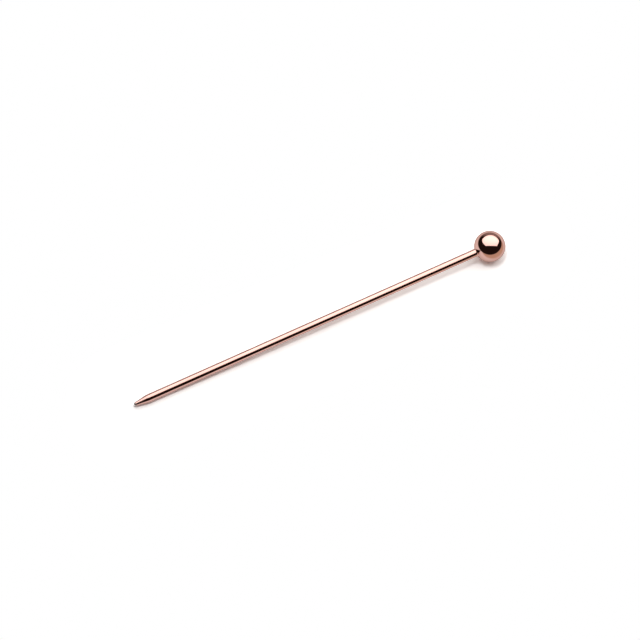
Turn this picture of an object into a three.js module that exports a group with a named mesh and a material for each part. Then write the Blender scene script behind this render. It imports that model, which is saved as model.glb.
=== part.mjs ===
// Metal cocktail pick: a wire shank with a ground point, brazed into a drilled ball.
// It lies as it would on a table, on its ball and on the shoulder of its point.
// Millimetres, +Z up. The point faces -X, and the origin is on the table under the middle.

import * as THREE from 'three';

// Overall sizes

const overallLength = 103.5; // along the pick, from the nose of the point to the top of the ball
const ballDiameter = 8;
const wireDiameter = 2.1;

// Ground point

const pointAngle = 19.5; // included angle of the cone, in degrees
const noseRadius = 0.47; // blunt, so that it spears an olive and not a finger
const shoulderRadius = 4; // where polishing has rounded the cone into the wire

// Brazed seat in the ball

const seatDepth = 5; // from the surface of the ball to the hidden end of the shank
const brazeGap = 0.05; // radial room between wire and bore, for the filler to creep into
const endGap = 0.2; // between the hidden end of the shank and the bottom of the straight bore
const endChamfer = 0.25; // on the hidden end of the shank
const drillAngle = 118; // included angle of the drill's tip, in degrees
const filletRadius = 0.35; // of the filler that shows around the joint
const filletClearance = 0.02; // between the filler ring and each of the two pieces it joins
const filletLand = 0.08; // width of the filler ring's inner end

// Fineness of the facets

const stepsAround = 64;
const ballSteps = 28;
const noseSteps = 6;
const shoulderSteps = 6;
const filletSteps = 6;

// Profiles lie in a plane through the pick's axis. Their x is the distance from the axis, and
// their y the distance along it from the centre of the ball, with the point at negative y.

const { degToRad } = THREE.MathUtils;
const ballRadius = ballDiameter / 2;
const wireRadius = wireDiameter / 2;
const boreRadius = wireRadius + brazeGap;

function point(x, y) {
  return new THREE.Vector2(x, y);
}

function arc(centre, radius, from, to, steps) {
  return Array.from({ length: steps + 1 }, (_, i) => {
    const angle = THREE.MathUtils.lerp(from, to, i / steps);
    return point(centre.x + radius * Math.cos(angle), centre.y + radius * Math.sin(angle));
  });
}

// The cone of the point touches the round nose at one end and the round shoulder at the other.

const axisToBottom = -Math.PI / 2;
const slope = degToRad(pointAngle / 2);
const noseCentre = point(0, ballRadius - overallLength + noseRadius);
const coneWidth = (wireRadius - shoulderRadius) + (shoulderRadius - noseRadius) * Math.cos(slope);
const coneLength = coneWidth / Math.tan(slope);
const shoulderCentre = point(
  wireRadius - shoulderRadius,
  noseCentre.y + coneLength + (shoulderRadius - noseRadius) * Math.sin(slope),
);

// The filler's fillet is the path of a small wheel that rolls in the corner between the wire
// and the ball. The mouth of the bore is countersunk at 45 degrees as far as the fillet reaches.

const filletCentreX = wireRadius + filletRadius;
const filletCentre = point(
  filletCentreX,
  -Math.sqrt((ballRadius + filletRadius) ** 2 - filletCentreX ** 2),
);
const rim = filletCentre.clone().setLength(ballRadius);
const mouth = rim.y + rim.x - boreRadius;

function shankProfile() {
  const end = seatDepth - ballRadius;
  return [
    ...arc(noseCentre, noseRadius, axisToBottom, -slope, noseSteps),
    ...arc(shoulderCentre, shoulderRadius, -slope, 0, shoulderSteps),
    point(wireRadius, end - endChamfer),
    point(wireRadius - endChamfer, end),
    point(0, end),
  ];
}

function ballProfile() {
  const boreEnd = seatDepth - ballRadius + endGap;
  const drillTip = boreEnd + boreRadius / Math.tan(degToRad(drillAngle / 2));
  return [
    point(0, drillTip),
    point(boreRadius, boreEnd),
    point(boreRadius, mouth),
    ...arc(point(0, 0), ballRadius, Math.atan2(rim.y, rim.x), Math.PI / 2, ballSteps),
  ];
}

// The ring's seat is parallel to the countersink and starts this far inside the rim.

function brazeProfile() {
  const inner = wireRadius + filletClearance;
  const outer = rim.x - filletClearance * Math.SQRT2;
  const lip = Math.acos((inner - filletCentre.x) / filletRadius);
  const edge = Math.acos((outer - filletCentre.x) / filletRadius);
  const fillet = arc(filletCentre, filletRadius, lip, edge, filletSteps);
  const seatStart = fillet.at(-1);
  const top = seatStart.y + seatStart.x - (inner + filletLand);
  return [...fillet, point(inner + filletLand, top), point(inner, top), fillet[0].clone()];
}

// Half a step of turn puts a facet, and not an edge, along the underside that meets the table.

function turned(name, profile, material) {
  const halfStep = Math.PI / stepsAround;
  const mesh = new THREE.Mesh(new THREE.LatheGeometry(profile, stepsAround, halfStep), material);
  mesh.name = name;
  return mesh;
}

function roseGold(color, roughness) {
  return new THREE.MeshStandardMaterial({ color, roughness, metalness: 1 });
}

const pick = new THREE.Group();
pick.rotation.z = -Math.PI / 2; // turned pieces are made along Y, and the pick lies along X
pick.add(turned('shank', shankProfile(), roseGold(0xf3c2b1, 0.06)));
pick.add(turned('ball', ballProfile(), roseGold(0xf4c4b3, 0.04)));
pick.add(turned('braze_ring', brazeProfile(), roseGold(0xeebba8, 0.1)));

// The axis falls towards the point until the shoulder, and not only the ball, meets the table.

const toShoulder = Math.hypot(shoulderCentre.x, shoulderCentre.y);
const layAngle =
  Math.asin((ballRadius - shoulderRadius) / toShoulder)
  - Math.atan2(shoulderCentre.x, -shoulderCentre.y);
const pointX = noseCentre.y * Math.cos(layAngle) - noseRadius;

const lyingPick = new THREE.Group();
lyingPick.rotation.y = -layAngle;
lyingPick.position.set(-(pointX + ballRadius) / 2, 0, ballRadius);
lyingPick.add(pick);

const group = new THREE.Group();
group.name = 'cocktail_pick';
group.add(lyingPick);

export default group;
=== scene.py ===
# %% [markdown]
# # A ball-ended cocktail pick
#
# This lesson dresses a small metal cocktail pick for its portrait. The real one is three
# pieces of metal under one coat of rose-gold plating: a wire shank ground to a point, a
# solid ball, and a little filler metal that joins them. All three are turned, which means
# that they are round about one axis, so one lathe made of Geometry Nodes makes all three.
#
# What makes a mirror-bright thing look real is mostly what it reflects, so the second half
# of the lesson builds a small photographic studio: white paper, a soft box close overhead,
# a small key lamp, and darkness everywhere else.

# %% Load the construction
import math

import bmesh
import bpy
from mathutils import Matrix, Vector


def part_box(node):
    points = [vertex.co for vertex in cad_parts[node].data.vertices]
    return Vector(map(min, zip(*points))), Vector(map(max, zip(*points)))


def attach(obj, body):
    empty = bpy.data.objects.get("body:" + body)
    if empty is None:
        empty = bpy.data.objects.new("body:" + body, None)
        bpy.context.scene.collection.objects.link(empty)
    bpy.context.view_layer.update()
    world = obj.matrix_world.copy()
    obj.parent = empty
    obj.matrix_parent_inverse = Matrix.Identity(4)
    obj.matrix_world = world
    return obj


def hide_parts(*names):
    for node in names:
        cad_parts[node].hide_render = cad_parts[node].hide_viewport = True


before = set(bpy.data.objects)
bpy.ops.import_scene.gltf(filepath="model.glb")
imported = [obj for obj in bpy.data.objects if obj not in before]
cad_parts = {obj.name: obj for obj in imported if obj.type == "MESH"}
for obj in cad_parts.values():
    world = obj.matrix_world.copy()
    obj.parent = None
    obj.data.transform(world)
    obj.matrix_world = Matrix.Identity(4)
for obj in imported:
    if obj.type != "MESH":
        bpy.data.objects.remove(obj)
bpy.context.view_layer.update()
MM = 0.001

# %% [markdown]
# ## Where the pick lies
#
# The construction already lies on its table, so the sizes that can be read from it are
# read: the ball's radius and centre, the thickness of the wire, the whole length. A few
# finer sizes of the maker can't be read from a box, and are written here once: the cone of
# the point, the blunt nose, and the shoulder where polishing has rounded the cone into
# the wire.

# %% Sizes of the pick
ball_low, ball_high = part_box("ball")
shank_low, shank_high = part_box("shank")

ball_radius = (ball_high.z - ball_low.z) / 2
ball_centre = Vector((ball_high.x - ball_radius, 0, ball_low.z + ball_radius))
wire_radius = (shank_high.y - shank_low.y) / 2

nose_radius = 0.47 * MM
shoulder_radius = 4 * MM
point_slope = math.radians(19.5 / 2)
fillet_radius = 0.35 * MM
seat_depth = 5 * MM
braze_gap = 0.05 * MM
end_gap = 0.2 * MM
end_chamfer = 0.25 * MM
drill_slope = math.radians(118 / 2)

print("ball radius", round(ball_radius / MM, 3), "wire radius", round(wire_radius / MM, 3))

# %% [markdown]
# ## The axis falls a little towards the point
#
# A straight wire with a ball on one end lies on the ball and on the shoulder of its point,
# so the axis is tilted by about two degrees. The angle follows from the ball, the wire and
# the distance between them. Along the axis, 0 is the centre of the ball and the point is
# on the negative side.

# %% The pick's axis
radius_change = shoulder_radius - nose_radius
cone_width = wire_radius - shoulder_radius + radius_change * math.cos(point_slope)
cone_run = cone_width / math.tan(point_slope) + radius_change * math.sin(point_slope)


def lay_angle_for(length):
    """The tilt of a pick of this length, and how far its nose then is from the ball's centre."""
    nose_centre = ball_radius - length + nose_radius
    shoulder_along = -(nose_centre + cone_run)
    shoulder_out = wire_radius - shoulder_radius
    reach = math.hypot(shoulder_along, shoulder_out)
    lift = math.asin((ball_radius - shoulder_radius) / reach)
    return lift - math.atan2(shoulder_out, shoulder_along), nose_centre


flat_length = ball_high.x - shank_low.x
lay_angle, nose_centre = lay_angle_for(flat_length)
round_ends = ball_radius + nose_radius
straight_length = (flat_length - round_ends) / math.cos(lay_angle) + round_ends
lay_angle, nose_centre = lay_angle_for(straight_length)

lathe_to_pick = (
    Matrix.Translation(ball_centre)
    @ Matrix.Rotation(-lay_angle, 4, "Y")
    @ Matrix.Rotation(-math.pi / 2, 4, "Y")
)
print("tilt, in degrees:", round(math.degrees(lay_angle), 3))
print("length, in mm:", round(straight_length / MM, 2))

# %% [markdown]
# ## Formulas inside a node tree
#
# A node tree can hold a formula, but one Math node for each sum and product is slow to
# write and hard to read. The small class below stands for a number inside a tree. Adding
# or multiplying two of them adds the Math node, so the tree is written like a formula in a
# book, and anyone who opens it in Blender still finds ordinary nodes with named inputs.

# %% Helpers for node trees
def add_node(tree, kind, inputs=(), **settings):
    """Adds a node, sets its settings, and fills its inputs with values, sockets or sizes."""
    node = tree.nodes.new(kind)
    for name, value in settings.items():
        setattr(node, name, value)
    for key, value in dict(inputs).items():
        if isinstance(value, Size):
            value = value.socket
        if isinstance(value, bpy.types.NodeSocket):
            tree.links.new(value, node.inputs[key])
        else:
            node.inputs[key].default_value = value
    return node


class Size:
    """A number inside a node tree. Sums and products of sizes add Math nodes to it."""

    def __init__(self, tree, socket):
        self.tree = tree
        self.socket = socket

    def maths(self, operation, *values):
        node = add_node(self.tree, "ShaderNodeMath", enumerate(values), operation=operation)
        return Size(self.tree, node.outputs[0])

    def __add__(self, other):
        return self.maths("ADD", self, other)

    def __sub__(self, other):
        return self.maths("SUBTRACT", self, other)

    def __mul__(self, other):
        return self.maths("MULTIPLY", self, other)

    def __truediv__(self, other):
        return self.maths("DIVIDE", self, other)

    def __neg__(self):
        return self.maths("MULTIPLY", self, -1)


def cos(size):
    return size.maths("COSINE", size)


def sin(size):
    return size.maths("SINE", size)


def tan(size):
    return size.maths("TANGENT", size)


def new_tree(name, inputs):
    """A geometry tree with one named input for each entry, and the sockets of those inputs."""
    tree = bpy.data.node_groups.new(name, "GeometryNodeTree")
    for label, kind in inputs.items():
        tree.interface.new_socket(label, in_out="INPUT", socket_type=kind)
    tree.interface.new_socket("Geometry", in_out="OUTPUT", socket_type="NodeSocketGeometry")
    given = add_node(tree, "NodeGroupInput").outputs
    return tree, given


print("node helpers ready")

# %% [markdown]
# ## Drawing an outline
#
# A turned piece is drawn as half of its section: x is the distance from the axis and y
# the distance along it. Two strokes are enough for the whole pick, a straight line and an
# arc, which are Blender's own curve primitives moved to their place. Each stroke starts
# where the last one ended, so that they join into one skin later.

# %% Strokes of an outline
ARC_STEPS = 24


def line(x1, y1, x2, y2):
    """A straight stroke between two points of the section. At least one number is a Size."""
    tree = next(value.tree for value in (x1, y1, x2, y2) if isinstance(value, Size))
    start = add_node(tree, "ShaderNodeCombineXYZ", {"X": x1, "Y": y1}).outputs[0]
    end = add_node(tree, "ShaderNodeCombineXYZ", {"X": x2, "Y": y2}).outputs[0]
    drawn = add_node(tree, "GeometryNodeCurvePrimitiveLine", {"Start": start, "End": end})
    return drawn.outputs[0]


def arc(x, y, radius, start, sweep, steps=ARC_STEPS):
    """A round stroke about the point (x, y), from one angle through another, in radians."""
    tree = radius.tree
    drawn = add_node(tree, "GeometryNodeCurveArc", {
        "Resolution": steps + 1, "Radius": radius, "Start Angle": start, "Sweep Angle": sweep,
    })
    place = add_node(tree, "ShaderNodeCombineXYZ", {"X": x, "Y": y}).outputs[0]
    moved = add_node(tree, "GeometryNodeTransform", {
        "Geometry": drawn.outputs[0], "Translation": place,
    })
    return moved.outputs[0]


print("an arc is drawn in", ARC_STEPS, "steps")

# %% [markdown]
# ## The lathe
#
# Blender has a Screw modifier and a Spin operator, but the same can be done inside a tree
# with Curve to Mesh: it carries a profile round a circle. If the profile is first moved
# inwards by exactly the radius of that circle, each point of it turns about the circle's
# centre at its own distance, as on a lathe. Merge by Distance then closes the seams
# between strokes and the poles on the axis, and Set Material comes last.

# %% The lathe tree
STEPS_AROUND = 160
GUIDE_RADIUS = 10 * MM
WELD = 0.0002 * MM


def make_lathe():
    """A group that turns an outline about the axis, closes the skin and gives it its finish."""
    tree, given = new_tree("turn on the lathe", {
        "Outline": "NodeSocketGeometry",
        "Steps around": "NodeSocketInt",
        "Finish": "NodeSocketMaterial",
    })
    guide = add_node(tree, "GeometryNodeCurvePrimitiveCircle", {
        "Resolution": given["Steps around"], "Radius": GUIDE_RADIUS,
    })
    inwards = add_node(tree, "GeometryNodeTransform", {
        "Geometry": given["Outline"], "Translation": (-GUIDE_RADIUS, 0, 0),
    })
    skin = add_node(tree, "GeometryNodeCurveToMesh", {
        "Curve": guide.outputs[0], "Profile Curve": inwards.outputs[0],
    })
    closed = add_node(tree, "GeometryNodeMergeByDistance", {
        "Geometry": skin.outputs[0], "Distance": WELD,
    })
    smooth = add_node(tree, "GeometryNodeSetShadeSmooth", {"Geometry": closed.outputs[0]})
    real = add_node(tree, "GeometryNodeRealizeInstances", {"Geometry": smooth.outputs[0]})
    finished = add_node(tree, "GeometryNodeSetMaterial", {
        "Geometry": real.outputs[0], "Material": given["Finish"],
    })
    add_node(tree, "NodeGroupOutput", {"Geometry": finished.outputs[0]})
    return tree


lathe = make_lathe()
print("lathe:", len(lathe.nodes), "nodes,", STEPS_AROUND, "steps around")

# %% Turning a piece
SHARP_EDGE = math.radians(35)


def turn(tree, given, strokes):
    """Ends a piece's tree: joins its strokes and sends them through the lathe."""
    joined = add_node(tree, "GeometryNodeJoinGeometry")
    for stroke in strokes:
        tree.links.new(stroke, joined.inputs[0])
    turned = add_node(tree, "GeometryNodeGroup", node_tree=lathe)
    tree.links.new(joined.outputs[0], turned.inputs["Outline"])
    tree.links.new(given["Steps around"], turned.inputs["Steps around"])
    tree.links.new(given["Finish"], turned.inputs["Finish"])
    add_node(tree, "NodeGroupOutput", {"Geometry": turned.outputs[0]})


def make_piece(name, tree, values):
    """Runs a tree with these inputs and keeps the result as a plain mesh on the pick's axis."""
    blank = bpy.data.objects.new(name, bpy.data.meshes.new(name))
    bpy.context.scene.collection.objects.link(blank)
    modifier = blank.modifiers.new("lathe", "NODES")
    modifier.node_group = tree
    for item in tree.interface.items_tree:
        if item.in_out == "INPUT":
            modifier[item.identifier] = values[item.name]
    graph = bpy.context.evaluated_depsgraph_get()
    mesh = bpy.data.meshes.new_from_object(blank.evaluated_get(graph))
    blank.modifiers.remove(modifier)
    blank.data = mesh
    mesh.name = name
    mesh.transform(lathe_to_pick)
    mesh.set_sharp_from_angle(angle=SHARP_EDGE)
    print(name, len(mesh.vertices), "points,", len(mesh.polygons), "faces")
    return blank


# %% [markdown]
# ## The finish
#
# Rose gold on a cocktail pick is a few micrometres of copper alloy over polished steel. It
# is a metal all over, so Metallic is 1 and the base colour is simply what it reflects.
# Specular Tint is what it reflects at a glancing angle: an ideal metal turns white there,
# and this one stays a little darker, which outlines the wire.
#
# A single colour would look like a drawing, because real plating varies. A slightly paler
# and a slightly redder tone drift over the surface, and buffing leaves very fine lines that
# blur the mirror a little here and there. The last half millimetre of the point, which is
# handled and washed the most, is worn towards the grey steel below. The patterns use Object
# coordinates, turned so that their X runs along the pick.

# %% Rose-gold plating
PALE_GOLD = (0.865, 0.545, 0.485, 1)
DEEP_GOLD = (0.835, 0.500, 0.440, 1)
EDGE_TINT = (0.60, 0.54, 0.50, 1)
WORN_STEEL = (0.50, 0.47, 0.45, 1)
WORN_START = 0.15 * MM
WORN_LENGTH = 0.5 * MM
TONES_PER_METRE = 140.0


def shader_tree(name):
    """A material with an empty tree that holds only its output."""
    material = bpy.data.materials.new(name)
    material.use_nodes = True
    tree = material.node_tree
    tree.nodes.clear()
    return material, tree


def fade(tree, value, start, length):
    """0 up to this start, then rising to 1 over this length."""
    return add_node(tree, "ShaderNodeMapRange", {
        "Value": value, "From Min": start, "From Max": start + length,
    }, clamp=True).outputs[0]


def mix_colours(tree, factor, first, second):
    """The first colour where the factor is 0, and the second where it is 1."""
    return add_node(tree, "ShaderNodeMix", {
        "Factor": factor, "A": first, "B": second,
    }, data_type="RGBA").outputs[2]


def rose_gold(name, line_scale, roughness, grain):
    """Plating whose buffing lines have this scale along and across the pick."""
    material, tree = shader_tree(name)
    coordinates = add_node(tree, "ShaderNodeTexCoord").outputs["Object"]
    along_pick = add_node(tree, "ShaderNodeMapping", {
        "Vector": coordinates, "Rotation": (0, lay_angle, 0),
    }).outputs[0]

    drift = add_node(tree, "ShaderNodeTexNoise", {
        "Vector": along_pick, "Scale": TONES_PER_METRE, "Detail": 3.0, "Roughness": 0.55,
    }).outputs["Fac"]
    gold = mix_colours(tree, fade(tree, drift, 0.35, 0.3), DEEP_GOLD, PALE_GOLD)
    along = add_node(tree, "ShaderNodeSeparateXYZ", {0: along_pick}).outputs[0]
    unworn = fade(tree, along, shank_low.x + WORN_START, WORN_LENGTH)
    plating = mix_colours(tree, unworn, WORN_STEEL, gold)

    stretched = add_node(tree, "ShaderNodeMapping", {
        "Vector": along_pick, "Scale": line_scale,
    }, vector_type="TEXTURE").outputs[0]
    lines = add_node(tree, "ShaderNodeTexNoise", {
        "Vector": stretched, "Scale": 1.0, "Detail": 5.0, "Roughness": 0.6,
    }).outputs["Fac"]
    haze = add_node(tree, "ShaderNodeMapRange", {
        "Value": lines, "From Min": 0.3, "From Max": 0.7,
        "To Min": roughness[0], "To Max": roughness[1],
    }, clamp=True).outputs[0]
    relief = add_node(tree, "ShaderNodeBump", {
        "Height": lines, "Strength": 1.0, "Distance": grain,
    }).outputs[0]

    metal = add_node(tree, "ShaderNodeBsdfPrincipled", {
        "Metallic": 1.0, "Base Color": plating, "Specular Tint": EDGE_TINT,
        "Roughness": haze, "Normal": relief,
    })
    add_node(tree, "ShaderNodeOutputMaterial", {"Surface": metal.outputs[0]})
    return material


wire_finish = rose_gold(
    "wire_plating",
    line_scale=(6 * MM, 0.12 * MM, 0.12 * MM), roughness=(0.04, 0.08), grain=0.00002 * MM,
)
ball_finish = rose_gold(
    "ball_plating",
    line_scale=(0.5 * MM, 0.5 * MM, 0.5 * MM), roughness=(0.03, 0.06), grain=0.00004 * MM,
)
fillet_finish = rose_gold(
    "fillet_plating",
    line_scale=(0.3 * MM, 0.3 * MM, 0.3 * MM), roughness=(0.06, 0.12), grain=0.0001 * MM,
)
print("finishes:", wire_finish.name, ball_finish.name, fillet_finish.name)

# %% [markdown]
# ## The shank
#
# The shank is drawn wire. One end is ground to a cone and then polished, which leaves a
# round blunt nose and a soft shoulder. Written as a rule, the cone is the straight line
# that touches both circles, so changing the wire or the slope moves everything with it.
# The other end is hidden in the ball, with a small chamfer that helps it into the bore.

# %% Turn the shank
def make_shank_tree():
    tree, given = new_tree("shank", {
        "Wire radius": "NodeSocketFloat",
        "Nose radius": "NodeSocketFloat",
        "Nose centre": "NodeSocketFloat",
        "Point slope": "NodeSocketFloat",
        "Shoulder radius": "NodeSocketFloat",
        "Hidden end": "NodeSocketFloat",
        "End chamfer": "NodeSocketFloat",
        "Steps around": "NodeSocketInt",
        "Finish": "NodeSocketMaterial",
    })
    wire, nose, along, slope, shoulder, end, chamfer = (Size(tree, given[i]) for i in range(7))
    shoulder_x = wire - shoulder
    width = shoulder_x + (shoulder - nose) * cos(slope)
    shoulder_y = along + width / tan(slope) + (shoulder - nose) * sin(slope)
    quarter = -math.pi / 2
    turn(tree, given, [
        arc(0.0, along, nose, quarter, -(slope + quarter)),
        line(nose * cos(slope), along - nose * sin(slope),
             shoulder_x + shoulder * cos(slope), shoulder_y - shoulder * sin(slope)),
        arc(shoulder_x, shoulder_y, shoulder, -slope, slope),
        line(wire, shoulder_y, wire, end - chamfer),
        line(wire, end - chamfer, wire - chamfer, end),
        line(wire - chamfer, end, 0.0, end),
    ])
    return tree


shank_end = seat_depth - ball_radius
shank = make_piece("shank_wire", make_shank_tree(), {
    "Wire radius": wire_radius,
    "Nose radius": nose_radius,
    "Nose centre": nose_centre,
    "Point slope": point_slope,
    "Shoulder radius": shoulder_radius,
    "Hidden end": shank_end,
    "End chamfer": end_chamfer,
    "Steps around": STEPS_AROUND,
    "Finish": wire_finish,
})

# %% [markdown]
# ## The ball
#
# The ball is solid, with a blind hole drilled for the shank. A twist drill leaves a cone
# of 118 degrees at the bottom, and the mouth is opened to 45 degrees for the filler. None
# of that shows once the pick is together, but it costs four short strokes, and anyone who
# cuts the model open finds what a jeweller would find.

# %% Turn the ball
fillet_x = wire_radius + fillet_radius
fillet_y = -math.sqrt((ball_radius + fillet_radius) ** 2 - fillet_x ** 2)
rim_angle = math.atan2(fillet_y, fillet_x)
rim_x = ball_radius * math.cos(rim_angle)
rim_y = ball_radius * math.sin(rim_angle)
bore_radius = wire_radius + braze_gap
mouth_y = rim_y + rim_x - bore_radius


def make_ball_tree():
    tree, given = new_tree("ball", {
        "Ball radius": "NodeSocketFloat",
        "Rim angle": "NodeSocketFloat",
        "Bore radius": "NodeSocketFloat",
        "Bore end": "NodeSocketFloat",
        "Drill slope": "NodeSocketFloat",
        "Steps around": "NodeSocketInt",
        "Finish": "NodeSocketMaterial",
    })
    radius, rim, bore, end, drill = (Size(tree, given[i]) for i in range(5))
    edge_x = radius * cos(rim)
    edge_y = radius * sin(rim)
    mouth = edge_y + edge_x - bore
    turn(tree, given, [
        line(0.0, end + bore / tan(drill), bore, end),
        line(bore, end, bore, mouth),
        line(bore, mouth, edge_x, edge_y),
        arc(0.0, 0.0, radius, rim, -(rim - math.pi / 2), 4 * ARC_STEPS),
    ])
    return tree


ball = make_piece("ball_end", make_ball_tree(), {
    "Ball radius": ball_radius,
    "Rim angle": rim_angle,
    "Bore radius": bore_radius,
    "Bore end": shank_end + end_gap,
    "Drill slope": drill_slope,
    "Steps around": STEPS_AROUND,
    "Finish": ball_finish,
})

# %% [markdown]
# ## The fillet of filler
#
# When the joint is heated, the filler runs into the gap and leaves a small hollow curve in
# the corner. Its section is the path of a wheel that rolls in the corner and touches both
# the wire and the ball, so the reflections run over the joint without a break.

# %% Turn the fillet
def make_fillet_tree():
    tree, given = new_tree("filler fillet", {
        "Wire radius": "NodeSocketFloat",
        "Fillet radius": "NodeSocketFloat",
        "Fillet centre": "NodeSocketFloat",
        "Rim angle": "NodeSocketFloat",
        "Mouth": "NodeSocketFloat",
        "Steps around": "NodeSocketInt",
        "Finish": "NodeSocketMaterial",
    })
    wire, fillet, along, rim, mouth = (Size(tree, given[i]) for i in range(5))
    centre = wire + fillet
    turned_rim = rim + math.pi
    edge_x = centre + fillet * cos(turned_rim)
    edge_y = along + fillet * sin(turned_rim)
    turn(tree, given, [
        arc(centre, along, fillet, math.pi, turned_rim - math.pi),
        line(edge_x, edge_y, wire, mouth),
        line(wire, mouth, wire, along),
    ])
    return tree


fillet = make_piece("filler_fillet", make_fillet_tree(), {
    "Wire radius": wire_radius,
    "Fillet radius": fillet_radius,
    "Fillet centre": fillet_y,
    "Rim angle": rim_angle,
    "Mouth": mouth_y,
    "Steps around": STEPS_AROUND,
    "Finish": fillet_finish,
})

# %% [markdown]
# ## Handing the pieces to the construction
#
# Each dressed piece stands for one solid of the construction. It rides on the same body,
# and hides that solid.

# %% Stand in for the solids
for piece, node, slot in (
    (shank, "shank", "plated_wire"),
    (ball, "ball", "plated_ball"),
    (fillet, "braze_ring", "plated_filler"),
):
    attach(piece, "root")
    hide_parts(node)
    print(piece.name, "stands for", node)

# %% [markdown]
# ## The white paper
#
# The pick lies on a wide sheet of white paper, and the camera and the metal need different
# things from it. To the camera the paper is the white background of the photograph. Its
# colour is above 1, so that everything but the pick's own shadow reaches white, and beyond
# that shadow it is a plain white surface.
#
# The metal sees a quieter paper: a natural white near the pick, with painted light, an
# emission share that lifts its own shadows. In front of the ball a painted reflection of
# brown takes its place, which the camera doesn't see, and all round a painted pool of light
# fades it to dark away from the pick. The directions right and away are those of the finished
# picture.

# %% Camera direction
VIEW_ELEVATION = math.radians(62)
VIEW_TURN = math.radians(25.90)
VIEW_DISTANCE = 1500 * MM
VIEW_TARGET = Vector((0.79, 1.71, 0)) * MM
FOCAL_LENGTH = 334.5
SENSOR = 36

picture_right = Vector((math.cos(VIEW_TURN), -math.sin(VIEW_TURN), 0))
picture_away = Vector((math.sin(VIEW_TURN), math.cos(VIEW_TURN), 0))
print("the camera looks along", [round(v, 3) for v in picture_away])

# %% Paper material
WHITE = (1, 1, 1, 1)
PAPER_WHITE = (0.80, 0.80, 0.80, 1)
PAPER_SEEN = (1.36, 1.36, 1.36, 1)
# Painted reflection: a brown that only the metal sees, on the paper in front of the ball.
REFLECTED_BROWN = (0.54, 0.42, 0.32, 1)
REFLECTED_BROWN_SIDE = (0.6, -0.8)
REFLECTED_BROWN_START = 6 * MM
REFLECTED_BROWN_FADE = 5 * MM
# Painted light: the share of the paper, as the metal sees it, that glows and lifts its shadows.
PAPER_PAINTED_LIGHT = 0.45
# Painted pool of light: the paper, as the metal sees it, darkens to this away from the pick.
PAINTED_DARK_PAPER = (0.22, 0.17, 0.14, 1)
PAINTED_POOL_SHIFT = Vector((28, -22, 0)) * MM
PAINTED_POOL_EDGE = 45 * MM
PAINTED_POOL_FADE = 80 * MM
SHADOW_REACH = 9 * MM
SHADOW_FADE = 9 * MM
to_reflected_brown = picture_right * REFLECTED_BROWN_SIDE[0] + picture_away * REFLECTED_BROWN_SIDE[1]


def vector_maths(tree, operation, first, second=None):
    """One Vector Math node. A length and a dot product are numbers, and the rest are vectors."""
    inputs = {0: first} if second is None else {0: first, 1: second}
    node = add_node(tree, "ShaderNodeVectorMath", inputs, operation=operation)
    return node.outputs["Value" if operation in ("LENGTH", "DOT_PRODUCT") else "Vector"]


def distance_from_pick(tree, place):
    """How far a point is from the line that the pick lies on, between its two ends."""
    either_side = vector_maths(tree, "ABSOLUTE", place)
    beyond = vector_maths(tree, "SUBTRACT", either_side, (flat_length / 2, 0, 0))
    return vector_maths(tree, "LENGTH", vector_maths(tree, "MAXIMUM", beyond, (0, 0, 0)))


def reflected_paper(tree, place):
    """What the metal sees: white with painted light in its shadows, a painted brown reflection in
    front of the ball, and painted dark far out.
    """
    # Painted reflection: in front of the ball the paper turns brown, for the metal only.
    from_ball = vector_maths(tree, "SUBTRACT", place, ball_centre)
    in_front = vector_maths(tree, "DOT_PRODUCT", from_ball, to_reflected_brown)
    near = mix_colours(tree, fade(tree, in_front, REFLECTED_BROWN_START, REFLECTED_BROWN_FADE), PAPER_WHITE, REFLECTED_BROWN)
    # Painted pool of light: away from the pick the paper turns dark, for the metal only.
    from_painted_pool = distance_from_pick(tree, vector_maths(tree, "SUBTRACT", place, PAINTED_POOL_SHIFT))
    colour = mix_colours(tree, fade(tree, from_painted_pool, PAINTED_POOL_EDGE, PAINTED_POOL_FADE), near, PAINTED_DARK_PAPER)
    shaded = add_node(tree, "ShaderNodeBsdfDiffuse", {"Color": colour}).outputs[0]
    # Painted light: an emission share that lifts the paper's shadows as the metal sees them.
    painted_light = add_node(tree, "ShaderNodeEmission", {"Color": colour, "Strength": 1.0}).outputs[0]
    return add_node(tree, "ShaderNodeMixShader", {0: PAPER_PAINTED_LIGHT, 1: shaded, 2: painted_light}).outputs[0]


def seen_paper(tree, place):
    """What the camera sees: the pick's shadow on paper that is otherwise white."""
    from_pick = distance_from_pick(tree, place)
    shadowed = add_node(tree, "ShaderNodeBsdfDiffuse", {"Color": PAPER_SEEN}).outputs[0]
    plain = add_node(tree, "ShaderNodeEmission", {"Color": WHITE, "Strength": 1.0}).outputs[0]
    return add_node(tree, "ShaderNodeMixShader", {
        0: fade(tree, from_pick, SHADOW_REACH, SHADOW_FADE), 1: shadowed, 2: plain,
    }).outputs[0]


def paper():
    material, tree = shader_tree("white_paper")
    place = add_node(tree, "ShaderNodeTexCoord").outputs["Object"]
    path = add_node(tree, "ShaderNodeLightPath").outputs
    surface = add_node(tree, "ShaderNodeMixShader", {
        0: path["Is Camera Ray"], 1: reflected_paper(tree, place), 2: seen_paper(tree, place),
    }).outputs[0]
    add_node(tree, "ShaderNodeOutputMaterial", {"Surface": surface})
    return material


# %% Lay the paper
PAPER_RADIUS = 1.5
PAPER_CORNERS = 96


def flat_face(name, corners):
    mesh = bpy.data.meshes.new(name)
    mesh.from_pydata(corners, [], [tuple(range(len(corners)))])
    return mesh


def stage_piece(name, mesh, material):
    """A piece of the studio, which is no part of the pick."""
    mesh.materials.append(material)
    piece = bpy.data.objects.new(name, mesh)
    bpy.context.scene.collection.objects.link(piece)
    return piece


turns = [math.tau * k / PAPER_CORNERS for k in range(PAPER_CORNERS)]
paper_rim = [Vector((math.cos(turn), math.sin(turn), 0)) * PAPER_RADIUS for turn in turns]
sheet = stage_piece("paper_sheet", flat_face("paper_sheet", paper_rim), paper())
print("paper:", len(sheet.data.vertices), "corners, radius", PAPER_RADIUS, "m")

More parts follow.
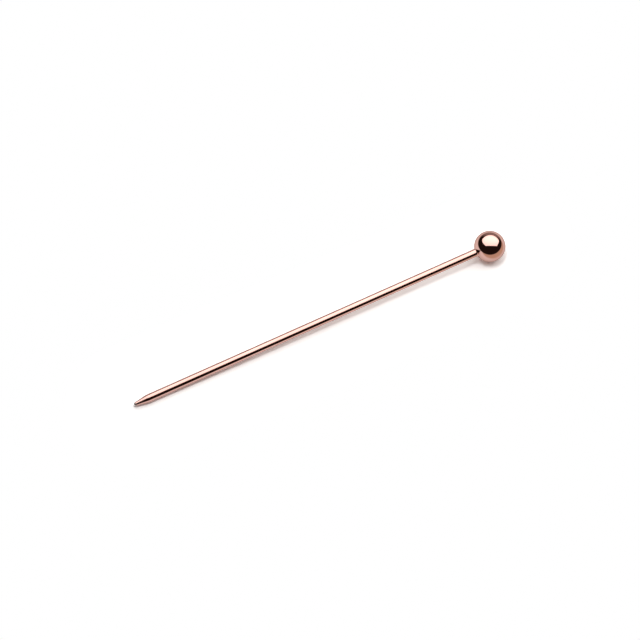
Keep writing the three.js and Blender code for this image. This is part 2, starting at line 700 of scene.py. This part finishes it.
# %% [markdown]
# ## The soft light
#
# One soft box hangs low over the table, mostly behind the pick. Its shape is what shows in
# the ball, so it is a real flat shape with its own corners, and not a lamp of Blender's. The
# corners are given in heights of the box above the ball, to the right of the picture and
# away from the camera. Hanging it low matters: seen from the point, ten centimetres away,
# it stands elsewhere than seen from the ball, and the bright line along the wire drifts.
#
# The cloth is brightest in the middle, as over a real lamp. The metal sees that glow, and
# everything else is lit by one even strength.

# %% Hang the soft box
LAMP_HEIGHT = 0.18
LAMP_CORNERS = (
    (-0.69, -0.44), (1.42, -0.46), (1.64, -0.05), (2.50, 1.25), (2.20, 1.55),
    (0.60, 1.90), (0.00, 1.88), (-0.60, 1.70), (-1.62, 1.24), (-1.34, 0.30),
)
LAMP_MIDDLE = (0.40, 0.80)
LAMP_REACH = (1.9, 1.2)
CLOTH_WHITE = (1, 0.985, 0.96, 1)
MIDDLE_GLOW = 2.0
EDGE_GLOW = 1.35
LAMP_LIGHT = 1.49


def above_ball(right, away):
    """The point at the lamp's height that lies this many heights right and away from the ball."""
    heights = picture_right * right + picture_away * away + Vector((0, 0, 1))
    return ball_centre + heights * LAMP_HEIGHT


def soft_box():
    material, tree = shader_tree("soft_box_cloth")
    place = add_node(tree, "ShaderNodeTexCoord").outputs["Object"]
    from_middle = add_node(tree, "ShaderNodeMapping", {
        "Vector": place, "Location": above_ball(*LAMP_MIDDLE), "Rotation": (0, 0, -VIEW_TURN),
        "Scale": (LAMP_REACH[0] * LAMP_HEIGHT, LAMP_REACH[1] * LAMP_HEIGHT, 1),
    }, vector_type="TEXTURE").outputs[0]
    outwards = vector_maths(tree, "DOT_PRODUCT", from_middle, from_middle)
    glow = add_node(tree, "ShaderNodeMapRange", {
        "Value": outwards, "To Min": MIDDLE_GLOW, "To Max": EDGE_GLOW,
    }, clamp=True).outputs[0]
    path = add_node(tree, "ShaderNodeLightPath").outputs
    strength = add_node(tree, "ShaderNodeMix", {
        "Factor": path["Is Glossy Ray"], "A": LAMP_LIGHT, "B": glow,
    }, data_type="FLOAT").outputs[0]
    cloth = add_node(tree, "ShaderNodeEmission", {"Color": CLOTH_WHITE, "Strength": strength})
    add_node(tree, "ShaderNodeOutputMaterial", {"Surface": cloth.outputs[0]})
    corners = [above_ball(*corner) for corner in LAMP_CORNERS]
    box = stage_piece("soft_box", flat_face("soft_box", corners), material)
    box.visible_camera = False
    box.visible_shadow = False
    return box


print(soft_box().name, "of", len(LAMP_CORNERS), "corners at", LAMP_HEIGHT, "m")

# %% [markdown]
# ## The dark studio
#
# Behind everything the world is plain white. In the photograph the metal shows little of
# that: beyond the paper and the lamp the studio is dark, and the darkness draws the black
# shapes in the metal. So a tent of dark cloth stands round the table, which the camera
# doesn't see. It lets one or two hundredths of the white through, and more where the cloth
# is thin, at the back, which softens the ring above the highlight.

# %% White world
def white_world():
    world = bpy.data.worlds.new("white_world")
    world.use_nodes = True
    tree = world.node_tree
    tree.nodes.clear()
    white = add_node(tree, "ShaderNodeBackground", {"Color": WHITE, "Strength": 1.0}).outputs[0]
    add_node(tree, "ShaderNodeOutputWorld", {"Surface": white})
    bpy.context.scene.world = world
    return world


print("world:", white_world().name)
bpy.context.scene.view_settings.view_transform = "Standard"

# %% Pitch the dark tent
TENT_RADIUS = 1.4
THICK_CLOTH = (0.0150, 0.0090, 0.0075, 1)
THIN_CLOTH = (0.29, 0.24, 0.22, 1)
THIN_TURN = math.radians(10)
THIN_START = 0.66
THIN_FADE = 0.24


def dark_tent():
    material, tree = shader_tree("tent_cloth")
    to_back = picture_away * math.cos(THIN_TURN) + picture_right * math.sin(THIN_TURN)
    place = add_node(tree, "ShaderNodeTexCoord").outputs["Object"]
    direction = vector_maths(tree, "NORMALIZE", vector_maths(tree, "SUBTRACT", place, ball_centre))
    thin = fade(tree, vector_maths(tree, "DOT_PRODUCT", direction, to_back), THIN_START, THIN_FADE)
    let_through = mix_colours(tree, thin, THICK_CLOTH, THIN_CLOTH)
    cloth = add_node(tree, "ShaderNodeBsdfTransparent", {"Color": let_through}).outputs[0]
    add_node(tree, "ShaderNodeOutputMaterial", {"Surface": cloth})

    form = bmesh.new()
    bmesh.ops.create_icosphere(form, subdivisions=4, radius=TENT_RADIUS)
    mesh = bpy.data.meshes.new("dark_tent")
    form.to_mesh(mesh)
    form.free()
    tent = stage_piece("dark_tent", mesh, material)
    tent.visible_camera = False
    return tent


print("tent:", dark_tent().name, "of radius", TENT_RADIUS, "m")

# %% [markdown]
# ## The key lamp
#
# A soft box alone gives a shadow without a core. In the photograph the shadow is darker
# close under the wire, so a small round lamp straight overhead gives a quarter of the light.
# It doesn't show in the metal, where it would be a second highlight.

# %% Hang the key lamp
KEY_HEIGHT = 0.32
KEY_SPREAD = math.radians(7)
KEY_RADIUS = KEY_HEIGHT * math.tan(KEY_SPREAD)
KEY_POWER = 0.245


def key_lamp():
    data = bpy.data.lights.new("key_lamp", "AREA")
    data.shape = "DISK"
    data.size = 2 * KEY_RADIUS
    data.energy = KEY_POWER
    key = bpy.data.objects.new("key_lamp", data)
    key.location = (0, 0, KEY_HEIGHT)
    key.visible_camera = False
    key.visible_glossy = False
    bpy.context.scene.collection.objects.link(key)
    return key


print(key_lamp().name, "of", KEY_POWER, "W at", KEY_HEIGHT, "m")

# %% [markdown]
# ## The camera
#
# The photograph looks down steeply, from about 62 degrees. The wire in it has the same
# width all along, and the reflections in the ball stand upright, so the camera is far away
# and has a long lens.

# %% Set up the camera
view_back = (
    -picture_away * math.cos(VIEW_ELEVATION) + Vector((0, 0, 1)) * math.sin(VIEW_ELEVATION)
)
camera_data = bpy.data.cameras.new("camera")
camera_data.lens = FOCAL_LENGTH
camera_data.sensor_width = SENSOR
camera = bpy.data.objects.new("camera", camera_data)
camera.location = VIEW_TARGET + view_back * VIEW_DISTANCE
camera.rotation_euler = view_back.to_track_quat("Z", "Y").to_euler()
bpy.context.scene.collection.objects.link(camera)
bpy.context.scene.camera = camera
print("camera at", [round(v, 3) for v in camera.location])
